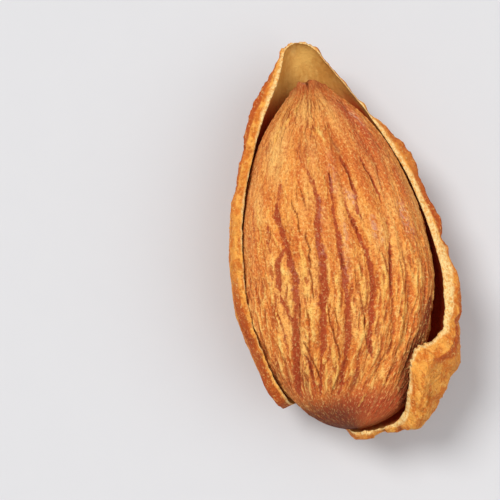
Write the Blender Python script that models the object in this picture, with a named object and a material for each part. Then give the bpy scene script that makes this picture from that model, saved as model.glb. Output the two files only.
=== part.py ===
"""An almond as cracked: the brown kernel lying in the half of its shell that is left.

The shell lies on its back with the kernel's face up. +Y points to the tips, +X to the side
where a flap of the shell still curls over the kernel, and +Z up. The origin is at the bottom
centre of the whole, on the surface that the shell rests on. Sizes are in metres.
"""

import bmesh
import bpy
import numpy as np

MM = 0.001

# The level of the kernel's widest line, above the surface that the shell rests on
LEVEL = 5.65 * MM

# The kernel. Its tables give, at places along it from -1 at the base to 1 at the tip, the half
# breadth and half thickness that a ball is stretched to and how far it leans to the side, in
# millimetres.
KERNEL_LENGTH = 26.6 * MM
KERNEL_MIDDLE = (-0.425 * MM, -1.13 * MM, LEVEL + 0.1 * MM)
KERNEL_WIDTHS = (
    (-1.0, 7.9), (-0.9, 8.1), (-0.75, 7.6), (-0.5, 7.3), (-0.28, 7.3), (0.0, 7.0),
    (0.4, 6.5), (0.62, 6.05), (0.8, 5.35), (0.9, 4.55), (1.0, 4.0),
)
KERNEL_DEPTHS = ((-1.0, 3.5), (-0.5, 4.35), (-0.15, 4.4), (0.3, 4.2), (0.7, 3.7), (1.0, 2.1))
KERNEL_SHIFTS = (
    (-1.0, 0.20), (-0.9, 0.28), (-0.7, 0.08), (-0.45, -0.12), (0.0, 0.0), (0.5, -0.09),
    (1.0, -0.45),
)
KERNEL_SQUARENESS = 2.15

# The hollow of the shell, told in the same way
HOLLOW_LENGTH = 29.9 * MM
HOLLOW_MIDDLE = (-0.245 * MM, 0.12 * MM, LEVEL)
HOLLOW_WIDTHS = (
    (-1.0, 9.4), (-0.8, 9.15), (-0.6, 8.9), (-0.3, 8.25), (0.0, 7.45), (0.3, 6.5), (0.6, 5.2),
    (0.85, 3.95), (1.0, 3.8),
)
HOLLOW_DEPTHS = ((-1.0, 4.9), (-0.5, 4.85), (0.0, 4.7), (0.5, 4.2), (0.8, 3.4), (1.0, 2.1))
HOLLOW_SHIFTS = ((-1.0, 0.62), (-0.5, 0.34), (0.0, 0.0), (0.6, -0.57), (0.85, -0.82), (1.0, -1.2))
HOLLOW_SQUARENESS = 2.1

# The shell's wall in millimetres: on the back, and at the rim by degrees round from the tip
# (90 is the right side)
WALL_BACK = 1.2
WALL_AT_RIM = (
    (0, 0.28), (18, 0.18), (36, 0.18), (50, 0.22), (57, 0.45), (66, 0.85), (73, 0.92),
    (80, 0.50), (90, 0.36), (100, 0.46), (110, 0.66), (125, 0.58), (140, 0.66), (150, 0.88),
    (157, 1.10), (164, 0.80), (172, 0.50), (182, 0.55), (190, 0.50), (212, 0.60), (225, 0.38),
    (238, 0.30), (250, 0.45), (262, 0.58), (285, 0.62), (298, 0.82), (310, 1.02), (320, 0.88),
    (330, 0.60), (340, 0.36), (350, 0.30),
)
CUT_SLOPE = 7.0  # degrees by which the outer skin ends lower than the inner wall

# How far above LEVEL the broken rim stands, both in degrees: round from the tip and up
RIM = (
    (0, 3), (30, 7), (60, 8), (80, 9), (91, 11), (100, 16), (110, 23), (120, 29),
    (131, 37), (144, 40), (152, 36), (158, 27), (165, 17), (172, 12), (180, 9), (185, 1),
    (191, -18), (198, -30), (208, -28), (214, -12), (219, 5), (226, 12), (245, 17), (270, 18),
    (290, 16), (310, 10), (330, 6),
)
RIM_RAGGEDNESS = 1.6  # degrees

# The deeper furrows of the kernel's face: half breadth in millimetres, depth from 0 to 1, and the
# course, as places along the kernel and degrees round it (0 is the right side and 90 the top)
FACE_FURROWS = (
    (0.50, 0.45, ((-0.43, 133), (-0.15, 137), (0.11, 144), (0.25, 146), (0.35, 142))),
    (0.50, 0.90, (
        (-0.76, 139), (-0.63, 132), (-0.50, 124), (-0.36, 120), (-0.20, 117), (-0.06, 119),
        (0.08, 123), (0.17, 127), (0.23, 132), (0.33, 132),
    )),
    (0.45, 0.65, ((-0.47, 126), (-0.36, 126), (-0.16, 129), (0.06, 129))),
    (0.50, 0.90, (
        (-0.77, 122), (-0.62, 112), (-0.51, 107), (-0.40, 102), (-0.13, 100), (0.15, 102),
        (0.38, 102), (0.46, 106), (0.53, 111), (0.65, 112),
    )),
    (0.40, 0.60, ((-0.76, 121), (-0.66, 117), (-0.58, 117), (-0.49, 120))),
    (0.45, 1.00, (
        (-0.78, 107), (-0.67, 97), (-0.55, 91), (-0.31, 88), (0.02, 90), (0.27, 89), (0.44, 90),
        (0.56, 92),
    )),
    (0.50, 1.00, (
        (-0.83, 97), (-0.72, 83), (-0.58, 76), (-0.35, 73), (-0.14, 71), (0.03, 75), (0.19, 79),
        (0.33, 80), (0.53, 77), (0.72, 80),
    )),
    (0.40, 0.50, ((0.12, 71), (0.27, 72), (0.44, 75))),
    (0.50, 0.95, (
        (-0.74, 72), (-0.64, 64), (-0.53, 59), (-0.31, 57), (-0.12, 58), (0.11, 55), (0.27, 58),
        (0.49, 62),
    )),
    (0.45, 0.80, (
        (-0.62, 54), (-0.51, 47), (-0.26, 47), (0.04, 49), (0.24, 52), (0.44, 50), (0.62, 51),
        (0.82, 41),
    )),
    (0.45, 0.45, ((0.10, 41), (0.28, 41), (0.47, 41))),
    (0.55, 0.50, ((-0.38, 31), (-0.12, 30), (0.15, 26))),
)

# The low furrows all round the kernel and the ridges of the shell's outside, all lengthwise
FURROWS = 21
FURROW_DEPTH = 0.27 * MM
RIDGES = 11
RIDGE_HEIGHT = 0.20 * MM
LUMP_HEIGHT = 0.22 * MM

KERNEL_SEGMENTS, KERNEL_RINGS = 144, 34
SHELL_SEGMENTS, SHELL_RINGS = 90, 42


def smooth(low, high, values):
    """0 below low, 1 above high, and an even bend between."""
    t = np.clip((values - low) / (high - low), 0, 1)
    return t * t * (3 - 2 * t)


def through(table, values):
    """The heights, at the values, of a smooth curve through the table's points."""
    place, height = np.array(table, float).T
    slope = np.gradient(height, place)
    k = np.clip(np.searchsorted(place, values) - 1, 0, len(place) - 2)
    run = place[k + 1] - place[k]
    t = (values - place[k]) / run
    rise = height[k] + (height[k + 1] - height[k]) * t * t * (3 - 2 * t)
    return rise + run * t * (1 - t) * (slope[k] * (1 - t) - slope[k + 1] * t)


def round_table(table):
    """A table by degrees round from the tip, carried on past 0 and 360."""
    before = [(angle - 360, height) for angle, height in table[-3:]]
    after = [(angle + 360, height) for angle, height in table[:3]]
    return before + list(table) + after


def uneven(points, size, seed):
    """A smooth uneven height of about -1 to 1, in swellings of about the given size."""
    chance = np.random.default_rng(seed)
    total = np.zeros(len(points))
    for _ in range(9):
        way = chance.normal(size=3)
        way *= chance.uniform(0.6, 1.3) / (np.linalg.norm(way) * size)
        total += np.sin(np.pi * (points @ way) + chance.uniform(0, 2 * np.pi))
    return total / 4


def unit(vectors):
    return vectors / np.linalg.norm(vectors, axis=1)[:, None]


def direction(around, height):
    """Unit vectors at angles round from the tip and above level, in degrees."""
    a, h = np.radians(around), np.radians(height)
    return np.stack([np.cos(h) * np.sin(a), np.cos(h) * np.cos(a), np.sin(h)], 1)


class Form:
    """An ovoid: a ball stretched lengthwise, and by its tables across and upwards."""

    def __init__(self, length, middle, widths, depths, shifts, squareness):
        self.length = length
        self.middle = np.array(middle)
        self.widths = widths
        self.depths = depths
        self.shifts = shifts
        self.squareness = squareness

    def surface(self, toward):
        """The surface points that unit vectors from the middle are stretched to."""
        x, y, z = toward.T
        flat = np.maximum(np.hypot(x, z), 1e-9)
        n = self.squareness
        bulge = np.maximum(np.abs(x / flat) ** n + np.abs(z / flat) ** n, 0.1) ** (-1 / n)
        wide = MM * through(self.widths, y) * x * bulge
        deep = MM * through(self.depths, y) * z * bulge
        shift = MM * through(self.shifts, y)
        return self.middle + np.stack([shift + wide, self.length / 2 * y, deep], 1)

    def outward(self, toward):
        """Unit vectors that stand square on the surface."""
        helper = np.where(np.abs(toward[:, :1]) < 0.9, (1.0, 0, 0), (0, 0, 1.0))
        side = 1e-3 * unit(np.cross(toward, helper))
        ahead = np.cross(side, toward)
        across = self.surface(unit(toward + side)) - self.surface(unit(toward - side))
        along = self.surface(unit(toward + ahead)) - self.surface(unit(toward - ahead))
        square = unit(np.cross(across, along))
        return square * np.sign(np.sum(square * toward, axis=1))[:, None]


KERNEL = Form(
    KERNEL_LENGTH, KERNEL_MIDDLE, KERNEL_WIDTHS, KERNEL_DEPTHS, KERNEL_SHIFTS, KERNEL_SQUARENESS
)
HOLLOW = Form(
    HOLLOW_LENGTH, HOLLOW_MIDDLE, HOLLOW_WIDTHS, HOLLOW_DEPTHS, HOLLOW_SHIFTS, HOLLOW_SQUARENESS
)


def face_furrows(toward):
    """How far the face is drawn in by its own furrows, from 0 to 1."""
    along = toward[:, 1]
    around = np.degrees(np.arctan2(toward[:, 2], toward[:, 0]))
    reach = through(KERNEL_WIDTHS, along) * np.sqrt(1 - along**2)
    drawn_in = np.zeros(len(toward))
    for breadth, depth, course in FACE_FURROWS:
        start = course[0][0]
        end = course[-1][0]
        off = np.radians(around - through(course, np.clip(along, start, end))) * reach
        lasts = smooth(start - 0.08, start + 0.04, along) * smooth(-end - 0.08, 0.04 - end, -along)
        drawn_in = np.maximum(drawn_in, depth * lasts * np.exp(-((off / breadth) ** 2)))
    return drawn_in


def furrows(toward):
    """How far the kernel's skin is drawn in: 0 on a swelling and 1 in a furrow."""
    around = np.arctan2(toward[:, 2], toward[:, 0]) / (2 * np.pi)
    wander = 0.75 * uneven(toward * (1, 0.8, 1), 0.9, 4) + 0.30 * uneven(toward, 0.36, 3)
    depth = np.clip(0.7 + 0.5 * uneven(toward * (1, 0.7, 1), 0.42, 11), 0.25, 1)
    valley = (0.5 + 0.5 * np.cos(2 * np.pi * (FURROWS * around + wander))) ** 1.4
    upward = toward[:, 2] / np.maximum(np.hypot(toward[:, 0], toward[:, 2]), 1e-9)
    low = valley * depth * (1 - 0.7 * smooth(0.0, 0.3, upward))
    fade = 1 - smooth(0.82, 0.995, np.abs(toward[:, 1]))
    return np.maximum(low * fade, face_furrows(toward))


def shell_relief(toward):
    """The height of the shell's outer ridges and lumps, lower near the rim."""
    around = np.arctan2(toward[:, 0], -toward[:, 2])
    ridge = np.cos(RIDGES * around + 2.5 * uneven(toward, 0.8, 7))
    fade = 1 - smooth(0.75, 0.98, np.abs(toward[:, 1]))
    lumps = uneven(toward * (1, 1.7, 1), 0.30, 8) + 0.5 * uneven(toward * (1, 1.7, 1), 0.17, 2)
    strength = 0.4 + 0.6 * smooth(0.05, 0.5, -toward[:, 2])
    return strength * (RIDGE_HEIGHT * ridge * fade + LUMP_HEIGHT * lumps)


def rim_height(around):
    """The rim's height above level in degrees, at angles round from the tip."""
    level = through(round_table(RIM), around % 360)
    rough = uneven(4 * direction(around, 0 * around), 1.1, 5)
    return level + RIM_RAGGEDNESS * rough


def wall(around, toward):
    """The thickness of the shell's wall, without its ridges."""
    at_rim = through(round_table(WALL_AT_RIM), around % 360)
    back = smooth(0.05, 0.85, -toward[:, 2])
    return MM * (at_rim + (WALL_BACK - at_rim) * back)


def shell_outside(around, height):
    """Points of the shell's outside, which is flat where it meets the surface below."""
    toward = direction(around, height)
    thick = wall(around, toward)
    thick = thick + shell_relief(toward) * smooth(0.1 * MM, 0.9 * MM, thick)
    points = HOLLOW.surface(toward) + HOLLOW.outward(toward) * thick[:, None]
    points[:, 2] = np.maximum(points[:, 2], 0)
    return points


def ball(segments, rings):
    """A unit ball as editable mesh data, and where its vertices lie."""
    shape = bmesh.new()
    bmesh.ops.create_uvsphere(shape, u_segments=segments, v_segments=rings, radius=1)
    return shape, unit(np.array([vertex.co[:] for vertex in shape.verts]))


def make(name, shape, points, collection, colour, roughness):
    """Moves a shape's vertices to the points and links it as an object with its material."""
    for vertex, point in zip(shape.verts, points):
        vertex.co = point
    mesh = bpy.data.meshes.new(name)
    shape.to_mesh(mesh)
    shape.free()
    mesh.shade_smooth()
    material = bpy.data.materials.new(name)
    material.use_nodes = True
    shader = material.node_tree.nodes["Principled BSDF"]
    shader.inputs["Base Color"].default_value = (*colour, 1)
    shader.inputs["Roughness"].default_value = roughness
    shader.inputs["Metallic"].default_value = 0
    mesh.materials.append(material)
    collection.objects.link(bpy.data.objects.new(name, mesh))


def make_kernel(collection):
    """The ball's poles become the tip and the base, so the furrows follow its edges."""
    shape, found = ball(KERNEL_SEGMENTS, KERNEL_RINGS)
    toward = found[:, [0, 2, 1]] * (1, 1, -1)
    drawn_in = FURROW_DEPTH * furrows(toward)
    points = KERNEL.surface(toward) - KERNEL.outward(toward) * drawn_in[:, None]
    make("kernel", shape, points, collection, (0.47, 0.19, 0.055), 0.62)


def make_shell(collection):
    """The ball's lower half becomes the outside and its upper half, pushed in, the hollow."""
    shape, found = ball(SHELL_SEGMENTS, SHELL_RINGS)
    row = 180 / SHELL_RINGS
    around = np.degrees(np.arctan2(found[:, 0], found[:, 1]))
    level = np.degrees(np.arcsin(np.clip(found[:, 2], -1, 1)))
    rim = rim_height(around)
    share = np.clip((np.abs(level) - row) / (90 - row), 0, 1)
    inside = HOLLOW.surface(direction(around, rim - share * (rim + 90)))
    end = rim - CUT_SLOPE
    outside = shell_outside(around, end - share * (end + 90))
    cut = (inside + outside) / 2 + (0, 0, 0.1 * MM)
    points = np.where(level[:, None] > 0, inside, outside)
    points = np.where(np.abs(level[:, None]) < row / 2, cut, points)
    make("shell", shape, points, collection, (0.55, 0.27, 0.075), 0.8)


def main():
    for item in list(bpy.data.objects):
        bpy.data.objects.remove(item)
    almond = bpy.data.collections.new("almond")
    bpy.context.scene.collection.children.link(almond)
    make_kernel(almond)
    make_shell(almond)


main()
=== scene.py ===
import math

import bpy
import numpy as np
from mathutils import Matrix, Vector


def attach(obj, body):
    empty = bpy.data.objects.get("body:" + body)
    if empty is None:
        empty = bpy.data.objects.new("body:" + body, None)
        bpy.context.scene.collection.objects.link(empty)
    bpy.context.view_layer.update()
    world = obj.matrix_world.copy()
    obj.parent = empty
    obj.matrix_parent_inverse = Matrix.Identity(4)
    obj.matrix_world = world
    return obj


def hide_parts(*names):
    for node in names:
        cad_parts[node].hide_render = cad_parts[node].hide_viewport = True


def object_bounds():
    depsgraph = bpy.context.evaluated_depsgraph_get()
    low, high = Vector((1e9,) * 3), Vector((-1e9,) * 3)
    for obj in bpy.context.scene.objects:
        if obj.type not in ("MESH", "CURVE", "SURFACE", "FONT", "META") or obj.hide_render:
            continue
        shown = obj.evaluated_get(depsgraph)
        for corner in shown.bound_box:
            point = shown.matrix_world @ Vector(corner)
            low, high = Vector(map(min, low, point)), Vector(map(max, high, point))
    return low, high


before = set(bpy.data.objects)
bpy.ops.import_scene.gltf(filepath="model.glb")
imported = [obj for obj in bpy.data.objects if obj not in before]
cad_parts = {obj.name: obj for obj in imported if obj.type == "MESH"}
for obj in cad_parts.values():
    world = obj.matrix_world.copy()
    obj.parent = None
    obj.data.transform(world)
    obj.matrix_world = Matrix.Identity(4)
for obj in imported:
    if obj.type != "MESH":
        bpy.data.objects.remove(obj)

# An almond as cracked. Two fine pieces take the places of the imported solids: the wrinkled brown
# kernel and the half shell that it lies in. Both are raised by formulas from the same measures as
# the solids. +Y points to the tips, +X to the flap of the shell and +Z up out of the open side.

CAD_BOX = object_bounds()
CAD_LOW, CAD_HIGH = np.array(CAD_BOX[0]), np.array(CAD_BOX[1])

MM = 0.001

# ---- Measures that the solids have too ------------------------------------------------------

LEVEL = 5.65 * MM
KERNEL_LENGTH = 26.6 * MM
KERNEL_MIDDLE = (-0.425 * MM, -1.13 * MM, LEVEL + 0.1 * MM)
KERNEL_WIDTHS = (
    (-1.0, 7.9), (-0.9, 8.1), (-0.75, 7.6), (-0.5, 7.3), (-0.28, 7.3), (0.0, 7.0), (0.4, 6.5),
    (0.62, 6.05), (0.8, 5.35), (0.9, 4.55), (1.0, 4.0),
)
KERNEL_DEPTHS = ((-1.0, 3.5), (-0.5, 4.35), (-0.15, 4.4), (0.3, 4.2), (0.7, 3.7), (1.0, 2.1))
KERNEL_SHIFTS = (
    (-1.0, 0.2), (-0.9, 0.28), (-0.7, 0.08), (-0.45, -0.12), (0.0, 0.0), (0.5, -0.09),
    (1.0, -0.45),
)
KERNEL_SQUARENESS = 2.15

HOLLOW_LENGTH = 29.9 * MM
HOLLOW_MIDDLE = (-0.245 * MM, 0.12 * MM, LEVEL)
HOLLOW_WIDTHS = (
    (-1.0, 9.4), (-0.8, 9.15), (-0.6, 8.9), (-0.3, 8.25), (0.0, 7.45), (0.3, 6.5), (0.6, 5.2),
    (0.85, 3.95), (1.0, 3.8),
)
HOLLOW_DEPTHS = ((-1.0, 4.9), (-0.5, 4.85), (0.0, 4.7), (0.5, 4.2), (0.8, 3.4), (1.0, 2.1))
HOLLOW_SHIFTS = ((-1.0, 0.62), (-0.5, 0.34), (0.0, 0.0), (0.6, -0.57), (0.85, -0.82), (1.0, -1.2))
HOLLOW_SQUARENESS = 2.1

# The shell's wall in millimetres: on the back, and at the rim by degrees round from the tip
WALL_BACK = 1.2
WALL_AT_RIM = (
    (0, 0.28), (18, 0.18), (36, 0.18), (50, 0.22), (57, 0.45), (66, 0.85), (73, 0.92), (80, 0.5),
    (90, 0.36), (100, 0.46), (110, 0.66), (125, 0.58), (140, 0.66), (150, 0.88), (157, 1.1),
    (164, 0.8), (172, 0.5), (182, 0.55), (190, 0.5), (212, 0.6), (225, 0.38), (238, 0.3),
    (250, 0.45), (262, 0.58), (285, 0.62), (298, 0.82), (310, 1.02), (320, 0.88), (330, 0.6),
    (340, 0.36), (350, 0.3),
)
CUT_SLOPE = 7.0
RIM = (
    (0, 3), (30, 7), (60, 8), (80, 9), (91, 11), (100, 16), (110, 23), (120, 29), (131, 37),
    (144, 40), (152, 36), (158, 27), (165, 17), (172, 12), (180, 9), (185, 1), (191, -18),
    (198, -30), (208, -28), (214, -12), (219, 5), (226, 12), (245, 17), (270, 18), (290, 16),
    (310, 10), (330, 6),
)
RIM_RAGGEDNESS = 1.6

# The deeper furrows of the kernel's face: half breadth in hundredths of a millimetre, depth in
# hundredths, and the course. A course is told as places in hundredths of the kernel's half length,
# from -100 at the base to 100 at the tip, with degrees round it: 0 is the right side, 90 the top.
FACE_FURROWS = (
    (50, 45, ((-43, 133), (-15, 137), (11, 144), (25, 146), (35, 142))),
    (50, 90, (
        (-76, 139), (-63, 132), (-50, 124), (-36, 120), (-20, 117), (-6, 119), (8, 123), (17, 127),
        (23, 132), (33, 132),
    )),
    (45, 65, ((-47, 126), (-36, 126), (-16, 129), (6, 129))),
    (50, 90, (
        (-77, 122), (-62, 112), (-51, 107), (-40, 102), (-13, 100), (15, 102), (38, 102),
        (46, 106), (53, 111), (65, 112),
    )),
    (40, 60, ((-76, 121), (-66, 117), (-58, 117), (-49, 120))),
    (45, 100, (
        (-78, 107), (-67, 97), (-55, 91), (-31, 88), (2, 90), (27, 89), (44, 90), (56, 92),
    )),
    (50, 100, (
        (-83, 97), (-72, 83), (-58, 76), (-35, 73), (-14, 71), (3, 75), (19, 79), (33, 80),
        (53, 77), (72, 80),
    )),
    (40, 50, ((12, 71), (27, 72), (44, 75))),
    (50, 95, (
        (-74, 72), (-64, 64), (-53, 59), (-31, 57), (-12, 58), (11, 55), (27, 58), (49, 62),
    )),
    (45, 80, ((-62, 54), (-51, 47), (-26, 47), (4, 49), (24, 52), (44, 50), (62, 51), (82, 41))),
    (45, 45, ((10, 41), (28, 41), (47, 41))),
    (55, 50, ((-38, 31), (-12, 30), (15, 26))),
)
FURROWS = 21
FURROW_DEPTH = 0.27 * MM
RIDGES = 11
RIDGE_HEIGHT = 0.20 * MM
LUMP_HEIGHT = 0.22 * MM

# ---- Measures of the fine pieces alone ------------------------------------------------------

KERNEL_SEGMENTS, KERNEL_RINGS = 480, 200
KERNEL_FACE_BIAS = 0.36  # how much closer the lines of points stand on the face than below
SHELL_SEGMENTS = 640
SHELL_INSIDE_RINGS, SHELL_CUT_RINGS, SHELL_OUTSIDE_RINGS = 34, 8, 108

# Heights and depths of the fine relief
LEFT_SWELLING, RIGHT_SWELLING = 0.13 * MM, 0.18 * MM
CREASE_DEPTH, CRINKLE_DEPTH, GRAIN_DEPTH, SWELL_HEIGHT = 0.12 * MM, 0.14 * MM, 0.045 * MM, 0.05 * MM
KNOB_RISE, PIT_DEPTH, SPECK_RISE, BARE_RISE = 0.17 * MM, 0.22 * MM, 0.07 * MM, 0.04 * MM
VEIN_DEPTH = 0.03 * MM
SKIN_BUMP, SHELL_BUMP, FLOOR_BUMP = 0.18 * MM, 0.20 * MM, 0.005 * MM
THINNEST_WALL = 0.12 * MM
WIDEST_BOW = 0.7 * MM
BOX_MARGIN = 0.002 * MM
# The two knobs at the kernel's tip and the cleft between them, in millimetres from its middle:
# place across and along, reach and height
TIP_KNOBS = ((-1.05, 12.75, 0.36, 0.42), (-0.24, 12.85, 0.33, 0.44))
CLEFT_ACROSS, CLEFT_REACH, CLEFT_DEPTH = -0.62, 0.11, 0.30

# Red-brown bands, golden ridges and thin dark creases of the face, told as the furrows are, with
# a strength for the depth. The creases' darkness is partly painted shade.
FACE_BANDS = (
    (17, 75, ((27, 129), (31, 128), (37, 126), (42, 126))),
    (33, 100, ((15, 125), (20, 128), (25, 129), (30, 130))),
    (24, 100, (
        (-14, 117), (-8, 119), (-4, 120), (0, 121), (5, 122), (10, 124), (14, 125), (19, 127),
    )),
    (27, 90, ((-42, 124), (-35, 120), (-28, 118), (-22, 118), (-17, 118), (-11, 118), (-6, 120))),
    (30, 100, (
        (-80, 146), (-76, 145), (-70, 139), (-64, 135), (-58, 130), (-52, 127), (-44, 123),
        (-37, 121),
    )),
    (27, 85, ((-21, 129), (-16, 129), (-10, 129), (-4, 128), (1, 126), (5, 124))),
    (20, 85, ((-42, 124), (-37, 124), (-32, 125), (-28, 126), (-24, 128), (-20, 129))),
    (12, 70, ((-54, 133), (-49, 133), (-43, 132), (-38, 132), (-30, 133))),
    (18, 70, ((25, 99), (31, 100), (37, 101), (42, 103), (47, 105))),
    (24, 95, ((3, 101), (9, 101), (14, 101), (20, 100), (25, 99), (33, 99))),
    (30, 100, (
        (-35, 103), (-28, 102), (-22, 100), (-15, 100), (-8, 100), (-3, 100), (3, 101), (8, 101),
    )),
    (24, 95, ((-59, 111), (-55, 108), (-50, 106), (-44, 104), (-38, 103), (-30, 102))),
    (11, 90, ((-80, 123), (-74, 119), (-68, 115), (-62, 112), (-58, 110))),
    (13, 90, (
        (4, 89), (10, 89), (16, 90), (22, 90), (27, 89), (33, 89), (38, 89), (42, 89), (45, 90),
    )),
    (21, 95, ((-26, 88), (-20, 88), (-13, 88), (-8, 88), (-2, 89), (5, 89), (13, 89))),
    (24, 95, ((-61, 94), (-55, 91), (-49, 89), (-42, 88), (-35, 87), (-28, 87), (-22, 87))),
    (20, 90, ((-81, 107), (-76, 102), (-69, 98), (-63, 95), (-58, 92))),
    (11, 85, (
        (14, 73), (18, 74), (23, 75), (28, 74), (33, 74), (37, 75), (42, 75), (48, 77), (53, 78),
    )),
    (14, 60, ((18, 80), (22, 81), (26, 81), (32, 81), (37, 82), (43, 84), (47, 87))),
    (17, 95, ((-8, 73), (-4, 73), (1, 75), (6, 76), (9, 77), (14, 79), (18, 80), (23, 81))),
    (23, 95, (
        (-46, 74), (-40, 72), (-33, 72), (-26, 71), (-19, 71), (-14, 71), (-8, 72), (-2, 74),
    )),
    (18, 90, ((-62, 73), (-58, 75), (-54, 75), (-49, 75), (-43, 73))),
    (12, 90, ((24, 57), (28, 56), (32, 57), (36, 58), (40, 59), (44, 60), (51, 62))),
    (10, 60, ((27, 52), (35, 52), (39, 52), (44, 50), (49, 50), (56, 51))),
    (14, 50, ((0, 56), (6, 55), (12, 55), (17, 54), (23, 55))),
    (18, 90, ((-31, 59), (-26, 59), (-19, 59), (-12, 58), (-5, 57), (2, 56))),
    (20, 60, ((-53, 57), (-48, 57), (-41, 57), (-34, 58), (-28, 59))),
    (12, 60, ((-51, 45), (-43, 44), (-35, 45), (-26, 45), (-18, 46), (-11, 47), (-4, 48))),
    (18, 50, ((-8, 37), (-2, 38), (4, 36), (11, 37))),
    (20, 50, ((-52, 36), (-45, 32), (-38, 31), (-32, 34), (-24, 35))),
    (12, 80, ((-80, 128), (-73, 124), (-68, 122), (-62, 120), (-56, 120))),
    (20, 70, ((-80, 94), (-74, 90), (-69, 87), (-64, 84))),
    (15, 70, ((-80, 85), (-76, 81), (-72, 78))),
    (20, 50, ((-24, 143), (-17, 142), (-9, 144), (-1, 145))),
    (15, 60, ((1, 132), (6, 135), (12, 135), (20, 136))),
    (11, 60, ((6, 149), (14, 149), (22, 151), (31, 152))),
    (17, 50, ((44, 104), (51, 109), (56, 111), (64, 112))),
    (20, 50, ((54, 77), (61, 78), (68, 79))),
    (11, 60, ((-66, 65), (-63, 68), (-55, 66), (-47, 67))),
    (12, 50, ((-65, 58), (-59, 54), (-54, 50))),
)
FACE_RIDGES = (
    (14, 90, ((2, 144), (7, 144), (13, 142), (20, 145), (26, 146), (32, 147))),
    (15, 80, ((20, 138), (26, 136), (31, 137))),
    (11, 80, ((-8, 137), (-2, 137), (5, 139), (12, 140))),
    (11, 80, ((-8, 152), (-2, 153), (3, 154))),
    (17, 100, ((3, 126), (6, 128), (10, 130), (15, 132))),
    (10, 90, ((-27, 136), (-23, 139), (-18, 140), (-12, 139), (-5, 139))),
    (11, 100, ((-39, 134), (-35, 134), (-30, 134), (-23, 135), (-17, 133), (-10, 133))),
    (17, 90, ((-62, 145), (-56, 140), (-50, 138), (-45, 137), (-39, 136))),
    (10, 70, ((-49, 144), (-44, 144), (-39, 142))),
    (21, 95, ((-31, 122), (-28, 122), (-23, 123), (-17, 123), (-11, 123), (-4, 124))),
    (17, 60, ((24, 119), (30, 120), (37, 122))),
    (26, 70, ((5, 115), (10, 116), (17, 118), (24, 119))),
    (24, 100, ((-24, 112), (-17, 111), (-10, 111), (-5, 111), (1, 112), (7, 113))),
    (12, 100, ((-26, 109), (-22, 109), (-17, 109))),
    (27, 90, ((-45, 111), (-38, 110), (-33, 109), (-27, 108))),
    (20, 70, ((-49, 115), (-42, 115), (-35, 115))),
    (17, 70, ((14, 93), (21, 93), (29, 94), (36, 93), (43, 93))),
    (12, 80, ((30, 106), (36, 107), (40, 109))),
    (12, 80, ((27, 102), (31, 103), (35, 104))),
    (18, 80, ((-32, 92), (-25, 92), (-18, 92), (-11, 94))),
    (15, 60, ((-5, 80), (1, 80), (8, 81))),
    (20, 70, ((-34, 76), (-25, 77), (-17, 78), (-8, 80))),
    (14, 80, ((-62, 86), (-56, 84), (-50, 80), (-43, 78), (-36, 78))),
    (30, 80, ((-39, 65), (-30, 65), (-20, 64), (-10, 64))),
    (21, 70, ((-45, 51), (-34, 50), (-23, 52), (-11, 52))),
    (20, 70, ((-38, 39), (-28, 40), (-19, 38), (-9, 38))),
    (26, 100, ((-77, 110), (-71, 105), (-64, 102), (-58, 101), (-50, 99))),
    (11, 100, ((-78, 114), (-72, 112), (-65, 109), (-58, 106))),
    (21, 95, ((-75, 133), (-69, 129), (-64, 125), (-57, 123))),
    (18, 60, ((-75, 95), (-69, 91), (-62, 90))),
    (20, 80, ((70, 129), (76, 126), (81, 119), (88, 118))),
    (26, 90, ((63, 139), (68, 138), (74, 134))),
    (20, 70, ((60, 87), (67, 92), (73, 98))),
    (30, 60, ((20, 65), (27, 64), (34, 62), (41, 62))),
    (26, 70, ((-1, 64), (4, 63), (11, 63), (18, 63))),
    (17, 80, ((47, 104), (52, 104), (58, 105))),
    (15, 70, ((-80, 62), (-74, 65), (-68, 64))),
    (12, 70, ((-55, 53), (-48, 53), (-41, 56))),
    (17, 80, ((-89, 93), (-85, 87), (-80, 81))),
)
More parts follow.
